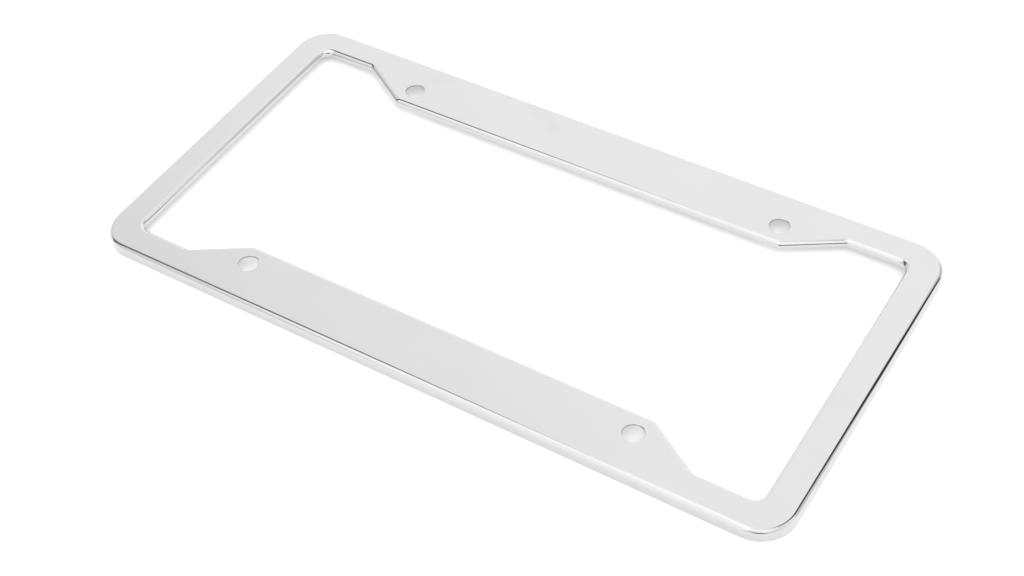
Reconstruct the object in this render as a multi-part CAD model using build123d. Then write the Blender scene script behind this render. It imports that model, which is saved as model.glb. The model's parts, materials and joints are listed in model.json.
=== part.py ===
"""Blank frame for a car's number plate, pressed from one sheet of bright metal.

Millimetres. The frame lies face up on the rim of its outer flange, with +X along its length,
+Z out of its face and the origin at the middle of the rim's plane.
"""
import os
from math import atan2, tan

from build123d import *

# Outside of the frame
frame_length = 312.0
frame_width = 157.0
frame_depth = 5.6
corner_radius = 15.0

# The sheet, and the inside of its bends
sheet = 0.9
bend_inside = 1.1

# Widths of the rails round the window
side_rail = 13.8
end_rail = 13.4
middle_rail = 27.5

# The wide middle of each long rail, and the slopes down to its narrow ends
middle_length = 186.0
slope_run = 23.0

# Corners of the window: two on the flange, and the slope's head on its bend line
window_corner = 4.5
slope_foot = 3.0
slope_head = 2.0

# Face to rim of the window flange; the plate lies against it, inside the outer flange
window_flange = 3.0

# Screw holes at the corners of a rectangle
hole_spacing_x = 177.8
hole_spacing_y = 120.65
hole_diameter = 8.5

bend_outside = bend_inside + sheet
plate_seat = frame_depth - window_flange


def outer_outline(inset):
    """Rounded outline of the frame, drawn inset from the outer flange's outside."""
    return RectangleRounded(
        frame_length - 2 * inset, frame_width - 2 * inset, corner_radius - inset
    )


def window_outline(growth):
    """Outline of the window, grown into the metal from the open side of the window flange.

    Corners that the metal surrounds gain the growth in radius. The slope's head, where the
    metal is the one to stand out, loses it, and keeps its own radius on the bend line.
    """
    half_length = frame_length / 2 - side_rail
    end_edge = frame_width / 2 - end_rail
    middle_edge = frame_width / 2 - middle_rail
    head = middle_length / 2
    foot = head + slope_run
    shift = growth * tan(atan2(end_edge - middle_edge, slope_run) / 2)
    quarter = [
        (half_length + growth, end_edge + growth, window_corner + growth),
        (foot - shift, end_edge + growth, slope_foot + growth),
        (head - shift, middle_edge + growth, slope_head + bend_outside - growth),
    ]
    half = quarter + [(-x, y, radius) for x, y, radius in reversed(quarter)]
    loop = half + [(-x, -y, radius) for x, y, radius in half]
    points = [(x, y) for x, y, radius in loop]
    radii = [radius for x, y, radius in loop]
    return make_face(FilletPolyline(*points, radius=radii, close=True))


def pressed_block(inset):
    """Ring between the two outlines with its upper edges rounded over.

    With no inset it is the outside of the pressing, and inset by the sheet it is the hollow
    behind the face, so that the sheet is equally thick through faces, bends and corners.
    """
    ring = outer_outline(inset) - window_outline(inset)
    block = extrude(ring, frame_depth - inset)
    upper_edges = block.edges().group_by(Axis.Z)[-1]
    return fillet(upper_edges, bend_outside - inset)


def seat_trim():
    """What is cut off the window flange, so that the plate lies within the outer flange."""
    return extrude(window_outline(bend_outside), plate_seat)


def screw_holes():
    """Four round punchings through the wide rails, near the corners of the plate."""
    punch = Pos(0, 0, frame_depth) * Cylinder(hole_diameter / 2, frame_depth)
    return [place * punch for place in GridLocations(hole_spacing_x, hole_spacing_y, 2, 2)]


plate_frame = pressed_block(0) - pressed_block(sheet) - seat_trim() - screw_holes()
plate_frame.label = "plate_frame"

os.makedirs("parts", exist_ok=True)
export_step(plate_frame, "parts/plate_frame.step")
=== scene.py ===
"""Looks of a blank number plate frame: one pressed sheet of bright metal, lying face up on a pale floor."""
import json
import bpy
import numpy as np
from mathutils import Matrix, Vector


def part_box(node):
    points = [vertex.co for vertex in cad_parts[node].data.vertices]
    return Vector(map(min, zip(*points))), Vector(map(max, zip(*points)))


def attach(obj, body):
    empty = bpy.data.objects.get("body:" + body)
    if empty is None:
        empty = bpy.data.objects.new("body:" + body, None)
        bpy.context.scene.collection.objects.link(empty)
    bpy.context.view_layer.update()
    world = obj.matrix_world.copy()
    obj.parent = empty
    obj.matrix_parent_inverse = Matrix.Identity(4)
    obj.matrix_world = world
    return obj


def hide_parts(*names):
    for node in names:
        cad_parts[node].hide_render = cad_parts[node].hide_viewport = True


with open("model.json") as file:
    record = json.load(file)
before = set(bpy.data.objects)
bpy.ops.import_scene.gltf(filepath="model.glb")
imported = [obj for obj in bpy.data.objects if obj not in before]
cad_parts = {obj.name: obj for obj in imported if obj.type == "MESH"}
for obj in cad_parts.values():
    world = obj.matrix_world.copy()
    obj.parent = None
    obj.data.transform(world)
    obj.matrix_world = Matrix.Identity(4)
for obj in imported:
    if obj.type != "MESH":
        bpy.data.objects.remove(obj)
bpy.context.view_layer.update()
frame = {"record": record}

# The frame: one blank of bright steel sheet, punched with four screw holes, then pressed in one hit.
# Its outer edge and the edge of its window are turned back into short flanges, all of one thickness.
# It lies on the rim of the outer flange; the window's flange stops short of it, where a plate nests.
half_length, half_width, depth = np.array(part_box("plate_frame")[1])
mounts = {mount["name"]: mount for mount in frame["record"]["mounts"]}
plate_seat = mounts["plate_seat"]["pos_m"][2]
sheet = 0.0009
bend_inside = 0.0011
bend_middle = bend_inside + sheet / 2
bend_outside = bend_inside + sheet
quarter_turn = np.pi / 2
corner_radius = 0.015
window_half_length = 0.1422
window_end_edge = 0.0651
window_middle_edge = 0.0510
slope_head_x = 0.093
slope_foot_x = 0.116
window_corner = 0.0045
slope_foot_radius = 0.003
slope_head_radius = 0.004
rim_round = 0.0003


def straight(start, end, steps):
    """Even steps along a straight line, its end left out: each row is a point, then the normal on the
    left of the way along it."""
    start, end = np.array(start), np.array(end)
    way = (end - start) / np.linalg.norm(end - start)
    points = start + np.arange(steps)[:, None] / steps * (end - start)
    return np.hstack([points, np.tile((-way[1], way[0]), (steps, 1))])


def rounded(centre, radius, first, last, steps, side=1):
    """Even steps round a centre from one bearing to another, the last left out: each row is a point,
    centre plus radius times the bearing, then the bearing itself as the normal, turned round if side is -1."""
    bearing = first + np.arange(steps) / steps * (last - first)
    way = np.stack([np.cos(bearing), np.sin(bearing)], axis=1)
    return np.hstack([np.array(centre) + radius * way, side * way])


def all_round(quarter):
    """A closed line from its quarter, which runs from the far rail's middle to the right rail's middle:
    the quarter, then its mirror images across the length, across both and across the width."""
    mirrored = [quarter * (sx, sy, sx, sy) for sx, sy in ((1, 1), (1, -1), (-1, -1), (-1, 1))]
    return np.concatenate([mirrored[0][:-1], mirrored[1][:0:-1], mirrored[2][:-1], mirrored[3][:0:-1]])


bolts = mounts["screw_holes"]["dims"]
hole_x = bolts["spacing_x_mm"] / 2000
hole_y = bolts["spacing_y_mm"] / 2000
hole_radius = bolts["hole_r_mm"] / 1000
hole_surround = 0.009
middle_steps, hole_steps, head_steps, slope_steps = 32, 14, 8, 26
foot_steps, narrow_steps, corner_steps, end_steps = 8, 10, 20, 24

slope = np.arctan2(window_end_edge - window_middle_edge, slope_foot_x - slope_head_x)
slope_way = np.array((np.cos(slope), np.sin(slope)))
head_cut = slope_head_radius * np.tan(slope / 2)
foot_cut = slope_foot_radius * np.tan(slope / 2)
head_start = np.array((slope_head_x - head_cut, window_middle_edge))
head_end = np.array((slope_head_x, window_middle_edge)) + head_cut * slope_way
foot_start = np.array((slope_foot_x, window_end_edge)) - foot_cut * slope_way
foot_end = np.array((slope_foot_x + foot_cut, window_end_edge))
hole_start = np.array((hole_x - hole_surround, window_middle_edge))
window_centre = np.array((window_half_length - window_corner, window_end_edge - window_corner))
window_line = all_round(np.concatenate([
    straight((0, window_middle_edge), hole_start, middle_steps),
    straight(hole_start, head_start, hole_steps),
    rounded(head_start + (0, slope_head_radius), slope_head_radius,
            -quarter_turn, slope - quarter_turn, head_steps, -1),
    straight(head_end, foot_start, slope_steps),
    rounded(foot_end - (0, slope_foot_radius), slope_foot_radius,
            quarter_turn + slope, quarter_turn, foot_steps),
    straight(foot_end, window_centre + (0, window_corner), narrow_steps),
    rounded(window_centre, window_corner, quarter_turn, 0, corner_steps),
    straight(window_centre + (window_corner, 0), (window_half_length, 0), end_steps),
    [(window_half_length, 0, 1, 0)],
]))

before_corner = middle_steps + hole_steps + head_steps + slope_steps + foot_steps + narrow_steps
corner_centre = np.array((half_length - corner_radius, half_width - corner_radius))
rail_x = np.interp(window_line[:before_corner, 0], (0, slope_foot_x, window_centre[0]),
                   (0, slope_foot_x, corner_centre[0]))
outer_line = all_round(np.concatenate([
    rail_x[:, None] * (1, 0, 0, 0) + (0, half_width, 0, -1),
    rounded(corner_centre, corner_radius, quarter_turn, 0, corner_steps, -1),
    straight(corner_centre + (corner_radius, 0), (half_length, 0), end_steps) * (1, 1, -1, 1),
    [(half_length, 0, -1, 0)],
]))


def columns(*values):
    """Values side by side as the columns of a table, a single one repeated down its column."""
    return np.stack(np.broadcast_arrays(*values), axis=1)


def turned_edge(rim):
    """Section of a turned edge: a quarter turn round the outside of the bend, down the flange, round the
    sheared rim, up the inside and a quarter turn back. Its columns are inset from the edge, height, the
    normal's share inward and upward, way past the flat face once unrolled, share of the sheet's thickness
    below its bright side, and share of shearing."""
    bend_points, nick_points, wall_points = 13, 6, 5
    turn = np.linspace(0, quarter_turn, bend_points)
    back = turn[::-1]
    nick = np.linspace(0, quarter_turn, nick_points)
    in_nick, out_nick = rim_round * (1 - np.sin(nick)), rim_round * (1 - np.cos(nick))
    wall = np.linspace(depth - bend_outside, rim + rim_round, wall_points)[1:-1]
    bend_foot = bend_middle * quarter_turn + depth - bend_outside
    return np.concatenate([
        columns(bend_outside * (1 - np.sin(turn)), depth - bend_outside * (1 - np.cos(turn)),
                -np.sin(turn), np.cos(turn), bend_middle * turn, 0, 0),
        columns(0, wall, -1, 0, bend_foot - wall, 0, 0),
        columns(out_nick, rim + in_nick, -np.cos(nick), -np.sin(nick),
                bend_foot - rim - in_nick, out_nick / sheet, np.sin(nick)),
        columns(sheet - in_nick, rim + out_nick, np.sin(nick), -np.cos(nick),
                bend_foot - rim - out_nick, 1 - in_nick / sheet, np.cos(nick)),
        columns(sheet, wall[::-1], 1, 0, bend_foot - wall[::-1], 1, 0),
        columns(bend_outside - bend_inside * np.sin(back), depth - bend_outside + bend_inside * np.cos(back),
                np.sin(back), -np.cos(back), bend_middle * back, 1, 0),
    ])


def section(face_steps):
    """The whole closed section: over the face, round the window's edge, back along the underside and round
    the outer edge. Its first column is the share of the way to the window, the others are as above."""
    across = np.arange(face_steps) / face_steps
    return np.concatenate([
        columns(across, bend_outside, depth, 0, 1, 0, 0, 0),
        np.insert(turned_edge(plate_seat), 0, 1, axis=1)[:-1],
        columns(1 - across, bend_outside, depth - sheet, 0, -1, 0, 1, 0),
        np.insert(turned_edge(0.0), 0, 0, axis=1)[:0:-1],
    ])


def carried(inset):
    """The section's plan all round the frame: at each station, the outer line and the window's line are
    moved in along their normals by the inset, and the share to the window mixes the two."""
    return ((1 - share) * (outer_line[:, None, :2] + inset * outer_line[:, None, 2:])
            + share * (window_line[:, None, :2] + inset * window_line[:, None, 2:]))


def raised(plan, height):
    """A plan with a third value, one for each row or for each point."""
    return np.concatenate([plan, np.broadcast_to(height, plan.shape[:2] + (1,))], axis=2)


face_steps = 22
share, inset, height, inward, upward, unrolled, through, sheared = section(face_steps).T[:, :, None]
plan = carried(inset)
stations, rows = plan.shape[:2]
plan_normal = (1 - share) * outer_line[:, None, 2:] + share * window_line[:, None, 2:]
body = np.concatenate([
    raised(plan, height),
    raised(inward * plan_normal, upward),
    raised(raised(carried(bend_outside - unrolled), -sheet * through), sheared),
], axis=2)
body_numbers = np.arange(stations * rows).reshape(stations, rows)


def hole_section():
    """Section of a punched hole: in over the face, rolled over its edge, down the sheared wall, round the
    small burr and out along the underside. Its columns are the share of the way from the edge of the cells
    round the hole to the hole, radius, height, the normal's share outward and upward, and share of shearing."""
    punch_roll, punch_burr = 0.00025, 0.00006
    roll_points, burr_points, over_points = 7, 4, 7
    turn = np.linspace(0, quarter_turn, roll_points)
    burr = np.linspace(0, quarter_turn, burr_points)
    over = np.linspace(0, 1, over_points)[1:-1]
    return np.concatenate([
        columns(over, hole_radius + punch_roll, depth, 0, 1, 0),
        columns(1, hole_radius + punch_roll * (1 - np.sin(turn)), depth - punch_roll * (1 - np.cos(turn)),
                -np.sin(turn), np.cos(turn), 1 - np.cos(turn)),
        columns(1, hole_radius + punch_burr * (1 - np.cos(burr)),
                depth - sheet + punch_burr * (1 - np.sin(burr)),
                -np.cos(burr), -np.sin(burr), np.cos(burr)),
        columns(over[::-1], hole_radius + punch_burr, depth - sheet, 0, -1, 0),
    ])


def quads(numbers, closed_along, closed_across):
    """Four-cornered faces between neighbouring rows and columns of a grid of vertex numbers."""
    near = numbers if closed_along else numbers[:-1]
    far = np.roll(numbers, -1, axis=0) if closed_along else numbers[1:]
    cells = np.stack([near, np.roll(near, -1, axis=1), np.roll(far, -1, axis=1), far], axis=2)
    return cells if closed_across else cells[:, :-1]


along = stations // 4
slope_steps_by_hole = 4
hole_first = middle_steps
hole_last = middle_steps + hole_steps + head_steps + slope_steps_by_hole
under_first = face_steps + len(turned_edge(0.0)) - 1
closeness, radius, level, outward, up, punched = hole_section().T[:, :, None, None]
whole = np.ones((stations, rows), bool)
vertices, faces = [body.reshape(-1, body.shape[2])], []
count = stations * rows
for first, last, centre in (
    (hole_first, hole_last, (hole_x, hole_y)),
    (2 * along - hole_last, 2 * along - hole_first, (hole_x, -hole_y)),
    (2 * along + hole_first, 2 * along + hole_last, (-hole_x, -hole_y)),
    (4 * along - hole_last, 4 * along - hole_first, (-hole_x, hole_y)),
):
    station = np.concatenate([np.arange(first, last), np.full(face_steps, last),
                              np.arange(last, first, -1), np.full(face_steps, first)])
    row = np.concatenate([np.zeros(last - first, int), np.arange(face_steps),
                          np.full(last - first, face_steps), np.arange(face_steps, 0, -1)])
    whole[first:last, :face_steps] = False
    whole[first:last, under_first:under_first + face_steps] = False
    cells_edge = plan[station, row]
    bearing = (cells_edge - centre) / np.linalg.norm(cells_edge - centre, axis=1, keepdims=True)
    hole_plan = (1 - closeness) * cells_edge + closeness * (centre + radius * bearing)
    hole = np.concatenate([
        raised(hole_plan, level),
        raised(outward * bearing, up),
        raised(raised(hole_plan, level - depth), punched),
    ], axis=2)
    hole_numbers = count + np.arange(hole.shape[0] * hole.shape[1]).reshape(hole.shape[:2])
    under_row = under_first + face_steps - row
    strip = np.vstack([body_numbers[station, row], hole_numbers, body_numbers[station, under_row]])
    vertices.append(hole.reshape(-1, hole.shape[2]))
    faces.append(quads(strip.T, True, False).reshape(-1, 4))
    count += hole_numbers.size
faces.append(quads(body_numbers, True, True)[whole])

used, corners = np.unique(np.concatenate(faces), return_inverse=True)
points, normals, blank_place, sheared = np.split(np.concatenate(vertices)[used], (3, 6, 9), axis=1)
frame_mesh = bpy.data.meshes.new("pressed_frame")
frame_mesh.from_pydata(points.tolist(), [], corners.reshape(-1, 4).tolist())
frame_mesh.polygons.foreach_set("use_smooth", np.ones(len(frame_mesh.polygons), bool))
frame_mesh.normals_split_custom_set_from_vertices(normals.tolist())
frame_mesh.attributes.new("blank", "FLOAT_VECTOR", "POINT").data.foreach_set("vector", blank_place.ravel())
frame_mesh.attributes.new("sheared", "FLOAT", "POINT").data.foreach_set("value", sheared.ravel())
pressed_frame = bpy.data.objects.new("pressed_frame", frame_mesh)
bpy.context.scene.collection.objects.link(pressed_frame)


class Wire:
    """A shader socket that takes arithmetic: each operator adds a Math node to the socket's own tree."""

    def __init__(self, tree, socket=None):
        self.tree = tree
        self.socket = socket

    def node(self, kind, settings, inputs, output=0):
        """Adds a node of a kind: its settings first, then a value or a link for each named or numbered
        input."""
        made = self.tree.nodes.new("ShaderNode" + kind)
        for name, value in settings.items():
            setattr(made, name, value)
        for name, value in inputs.items():
            if isinstance(value, Wire):
                self.tree.links.new(value.socket, made.inputs[name])
            else:
                made.inputs[name].default_value = value
        return Wire(self.tree, made.outputs[output])

    def feed(self, node, socket):
        """Links this socket to an input of a node that is there already."""
        self.tree.links.new(self.socket, self.tree.nodes[node].inputs[socket])

    def maths(self, operation, first, second):
        """Adds a Math node on two values."""
        return self.node("Math", {"operation": operation}, {0: first, 1: second})

    def __add__(self, other):
        return self.maths("ADD", self, other)

    def __sub__(self, other):
        return self.maths("SUBTRACT", self, other)

    def __rsub__(self, other):
        return self.maths("SUBTRACT", other, self)

    def __mul__(self, other):
        return self.maths("MULTIPLY", self, other)

    __radd__, __rmul__ = __add__, __mul__

    def fade(self, start, end):
        """Nothing at the start value, one at the end value, with a smooth step between."""
        return self.node("MapRange", {"interpolation_type": "SMOOTHSTEP"},
                         {"Value": self, "From Min": start, "From Max": end})


polished = bpy.data.materials.new("polished_sheet")
polished.use_nodes = True
metal = Wire(polished.node_tree)
blank = metal.node("Attribute", {"attribute_name": "blank"}, {}, "Vector")
shear = metal.node("Attribute", {"attribute_name": "sheared"}, {}, "Fac")
below = metal.node("SeparateXYZ", {}, {0: blank}, "Z") * (-1 / sheet)
back = below.fade(0.4, 0.6)


def marks(along, across, through, detail):
    """Smooth random marks in the sheet, drawn out to a spacing along it, across it and through it: noise on
    the place in the flat blank divided by the spacings, so that they follow the sheet round its bends."""
    drawn = metal.node("VectorMath", {"operation": "DIVIDE"}, {0: blank, 1: (along, across, through)})
    return metal.node("TexNoise", {}, {"Vector": drawn, "Scale": 1.0, "Detail": detail}, "Fac")


def smear(x, y, turn, long_half, short_half):
    """A finger smear on the bright side, a turned oval: one at its middle and fading to nothing at its edge,
    by the length of the way from its middle divided by its two halves, plus ragged marks."""
    raggedness, gone, full = 2, 2.3, 1.2
    off = metal.node("VectorMath", {"operation": "SUBTRACT"}, {0: blank, 1: (x, y, 0)})
    turned = metal.node("VectorRotate", {"rotation_type": "Z_AXIS"},
                        {"Vector": off, "Angle": -np.radians(turn)})
    scaled = metal.node("VectorMath", {"operation": "DIVIDE"},
                        {0: turned, 1: (long_half, short_half, sheet / 2)})
    reach = metal.node("VectorMath", {"operation": "LENGTH"}, {0: scaled}, "Value")
    return (reach + raggedness * ragged).fade(gone, full)


def blended(share, first, second):
    """One colour turning into another by a share."""
    return metal.node("Mix", {"data_type": "RGBA"}, {0: share, 6: first, 7: second}, 2)


buffing = marks(along=0.025, across=0.00022, through=0.01, detail=3)
wipes = marks(along=0.05, across=0.006, through=0.01, detail=3)
clouds = marks(along=0.03, across=0.022, through=0.01, detail=2)
swells = marks(along=0.07, across=0.03, through=0.01, detail=1)
rolling = marks(along=0.04, across=0.0005, through=0.01, detail=4)
scoring = marks(along=0.00025, across=0.00025, through=0.004, detail=3)
ragged = marks(along=0.006, across=0.004, through=0.01, detail=3)
smears = smear(x=-0.033, y=0.0755, turn=-33, long_half=0.009, short_half=0.004)
smears = smears + smear(x=-0.0235, y=0.0695, turn=-33, long_half=0.007, short_half=0.003)
smears = smears + 0.6 * smear(x=-0.083, y=0.071, turn=40, long_half=0.01, short_half=0.005)
torn = (below + 0.3 * scoring).fade(0.45, 0.6)

cloudy_bright, clear_bright = (0.622, 0.622, 0.624, 1), (0.654, 0.654, 0.654, 1)
cut_bright, torn_grey = (0.66, 0.66, 0.66, 1), (0.52, 0.52, 0.525, 1)
mill_grey, mill_pale = (0.46, 0.46, 0.465, 1), (0.58, 0.58, 0.58, 1)
bright_tone = blended(clouds - 0.7 * smears, cloudy_bright, clear_bright)
shear_tone = blended(torn, cut_bright, torn_grey)
mill_tone = blended(rolling, mill_grey, mill_pale)
blended(shear, blended(back, bright_tone, mill_tone), shear_tone).feed("Principled BSDF", "Base Color")

bright_rough = 0.06 + 0.04 * wipes + 0.03 * clouds + 0.015 * buffing + 0.06 * smears
mill_rough = 0.3 + 0.16 * rolling
shear_rough = 0.26 + 0.26 * torn
roughness = bright_rough + back * (mill_rough - bright_rough)
roughness = roughness + shear * (shear_rough - roughness)
roughness.feed("Principled BSDF", "Roughness")

swell_height, buffing_height, rolling_height, scoring_height = 1.0e-4, 1.2e-6, 3.0e-6, 6.0e-6
relief = swell_height * swells + buffing_height * buffing * (1 - back)
relief = relief + rolling_height * rolling * back + scoring_height * scoring * shear
bump = metal.node("Bump", {}, {"Strength": 1.0, "Distance": 1.0, "Height": relief})
bump.feed("Principled BSDF", "Normal")
polished.node_tree.nodes["Principled BSDF"].inputs["Metallic"].default_value = 1.0
frame_mesh.materials.append(polished)

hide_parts("plate_frame")
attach(pressed_frame, "root")

# The floor: a plain matt white table top, wide enough to fill the view from any side.
# It glows a little, a painted glow standing in for fill light, so that shadows on it stay light.
floor_half = 4.0
floor_gap = 0.00005
floor_tone, floor_painted_glow = (0.82, 0.82, 0.82, 1), 0.36
floor_mesh = bpy.data.meshes.new("floor")
floor_mesh.from_pydata([(-floor_half, -floor_half, -floor_gap), (floor_half, -floor_half, -floor_gap),
                        (floor_half, floor_half, -floor_gap), (-floor_half, floor_half, -floor_gap)],
                       [], [(0, 1, 2, 3)])
floor = bpy.data.objects.new("floor", floor_mesh)
bpy.context.scene.collection.objects.link(floor)
pale = bpy.data.materials.new("pale_floor")
pale.use_nodes = True
pale_inputs = pale.node_tree.nodes["Principled BSDF"].inputs
pale_inputs["Base Color"].default_value = floor_tone
pale_inputs["Roughness"].default_value = 1.0
pale_inputs["Specular IOR Level"].default_value = 0.0
pale_inputs["Emission Color"].default_value = (1, 1, 1, 1)
# Painted light: the floor's emission lightens its shadows, as no lamp in it would.
pale_inputs["Emission Strength"].default_value = floor_painted_glow
floor_mesh.materials.append(pale)

# The light: a white studio tent with two bright banks of lamps, and darker parts where its sheets fold
# or stand apart. The frame mirrors it; the camera itself sees it as plain white.
world = bpy.data.worlds.new("studio")
bpy.context.scene.world = world
world.use_nodes = True
tent = Wire(world.node_tree)
way = tent.node("TexCoord", {}, {}, "Generated")


def along_axis(place, axis):
    """How far a place or a direction goes along an axis: their dot product."""
    return place.node("VectorMath", {"operation": "DOT_PRODUCT"}, {0: place, 1: tuple(axis)}, "Value")


def between(value, low, high, edge):
    """One from low to high and nothing outside, with a soft edge round each of the two."""
    return value.fade(low - edge / 2, low + edge / 2) * value.fade(high + edge / 2, high - edge / 2)


def patch(place, sideways, endways, across, side_edge, along, end_edge):
    """A soft-edged rectangle: the product of two ranges of how far a place goes along two axes."""
    return (between(along_axis(place, sideways), *across, side_edge)
            * between(along_axis(place, endways), *along, end_edge))


def tent_patch(turn, across, side_edge, along, end_edge):
    """A soft-edged rectangle in the plan of the tent, turned about the upright."""
    turn = np.radians(turn)
    sideways, endways = (np.cos(turn), np.sin(turn), 0), (-np.sin(turn), np.cos(turn), 0)
    return patch(way, sideways, endways, across, side_edge, along, end_edge)


bank = tent_patch(turn=10.1, across=(-0.596, -0.11), side_edge=0.12, along=(-0.946, 0.476), end_edge=0.051)
front_bank = tent_patch(turn=0, across=(-0.15, 0.62), side_edge=0.12, along=(-0.75, -0.05), end_edge=0.12)
right_fold = tent_patch(turn=0, across=(0.389, 1.1), side_edge=0.1, along=(0.485, 0.72), end_edge=0.098)
far_fold = tent_patch(turn=0, across=(0.14, 0.75), side_edge=0.2, along=(0.65, 1), end_edge=0.16)
left_gap = tent_patch(turn=-24.4, across=(-0.628, -0.394), side_edge=0.212,
                      along=(-0.449, 0.164), end_edge=0.05)
left_end = tent_patch(turn=9.9, across=(-0.973, -0.616), side_edge=0.051, along=(-0.24, 0.04), end_edge=0.12)
left_fold = tent_patch(turn=164.7, across=(0.445, 1.04), side_edge=0.061, along=(-0.314, 0.6), end_edge=0.398)
front_gap = tent_patch(turn=-61, across=(0.94, 1.2), side_edge=0.06, along=(-0.3, 0.27), end_edge=0.06)
tent_shine, far_shine, bank_shine, front_shine = 1.116, 0.225, 0.41, 0.4
shine = tent_shine + far_shine * along_axis(way, (0, 1, 0)) + bank_shine * bank + front_shine * front_bank
for shade, darkness in ((left_gap, 0.88), (left_end, 0.88), (front_gap, 0.85),
                        (left_fold, 0.155), (right_fold, 0.325), (far_fold, 0.4)):
    shine = shine * (1 - darkness * shade)
to_camera = tent.node("LightPath", {}, {}, "Is Camera Ray")
strength = shine * (1 - to_camera) + to_camera
strength.feed("Background", "Strength")
world.node_tree.nodes["Background"].inputs["Color"].default_value = (1, 1, 1, 1)
bpy.context.scene.view_settings.view_transform = "Standard"

# The card: a narrow strip of dark paper with soft edges, held up close to the frame's right rail, as
# a studio does to draw a dark line along a bright bend. It is seen only where it is mirrored.
card_bearing, card_rise, card_turn = np.radians((65.7, 34, -5.6))
card_distance = 0.255
card_across, card_side_edge = np.array((-0.236, -0.147)), 0.021
card_along, card_end_edge = np.array((-0.16, 0.196)), 0.06
card_darkness = 0.936
card_line = np.array((np.cos(card_rise) * np.cos(card_bearing), np.cos(card_rise) * np.sin(card_bearing),
                      np.sin(card_rise)))
card_level = np.array((-np.sin(card_bearing), np.cos(card_bearing), 0))
card_steep = np.cross(card_line, card_level)
card_sideways = np.cos(card_turn) * card_level + np.sin(card_turn) * card_steep
card_endways = np.cos(card_turn) * card_steep - np.sin(card_turn) * card_level
card_left, card_right = card_across + (-card_side_edge, card_side_edge)
card_low, card_high = card_along + (-card_end_edge, card_end_edge)
card_corners = np.array(((card_left, card_low), (card_right, card_low),
                         (card_right, card_high), (card_left, card_high)))
card_mesh = bpy.data.meshes.new("card")
card_mesh.from_pydata((card_distance * card_line + card_corners @ (card_sideways, card_endways)).tolist(),
                      [], [(0, 1, 2, 3)])
card = bpy.data.objects.new("card", card_mesh)
bpy.context.scene.collection.objects.link(card)
paper = bpy.data.materials.new("dark_paper")
paper.use_nodes = True
spot = Wire(paper.node_tree).node("TexCoord", {}, {}, "Object")
dark = patch(spot, card_sideways, card_endways, card_across, card_side_edge, card_along, card_end_edge)
(card_darkness * dark).feed("Principled BSDF", "Alpha")
paper_inputs = paper.node_tree.nodes["Principled BSDF"].inputs
paper_inputs["Base Color"].default_value = (0, 0, 0, 1)
paper_inputs["Specular IOR Level"].default_value = 0.0
card_mesh.materials.append(paper)
card.visible_camera = card.visible_diffuse = card.visible_shadow = False

# The camera: above the near right corner, with a long lens. Its place, aim and lens come from the fit
# of the frame's straight edges and holes to the picture.
azimuth, elevation, roll = np.radians((35.5721, 46.8966, -5.0027))
distance = 0.6691579
aim = np.array((0.0091794, -0.0162414, 0))
image_width = 1024
focal_pixels = 1680.553
toward = np.array((np.sin(azimuth) * np.cos(elevation), -np.cos(azimuth) * np.cos(elevation),
                   np.sin(elevation)))
level_right = np.array((np.cos(azimuth), np.sin(azimuth), 0))
level_up = np.cross(toward, level_right)
right = np.cos(roll) * level_right + np.sin(roll) * level_up
up = np.cos(roll) * level_up - np.sin(roll) * level_right
lens = bpy.data.cameras.new("camera")
lens.sensor_width = 36
lens.lens = focal_pixels / image_width * lens.sensor_width
lens.clip_start = 0.01
camera = bpy.data.objects.new("camera", lens)
bpy.context.scene.collection.objects.link(camera)
place = np.eye(4)
place[:3, 0], place[:3, 1], place[:3, 2], place[:3, 3] = right, up, toward, aim + distance * toward
camera.matrix_world = Matrix(place.tolist())
bpy.context.scene.camera = camera
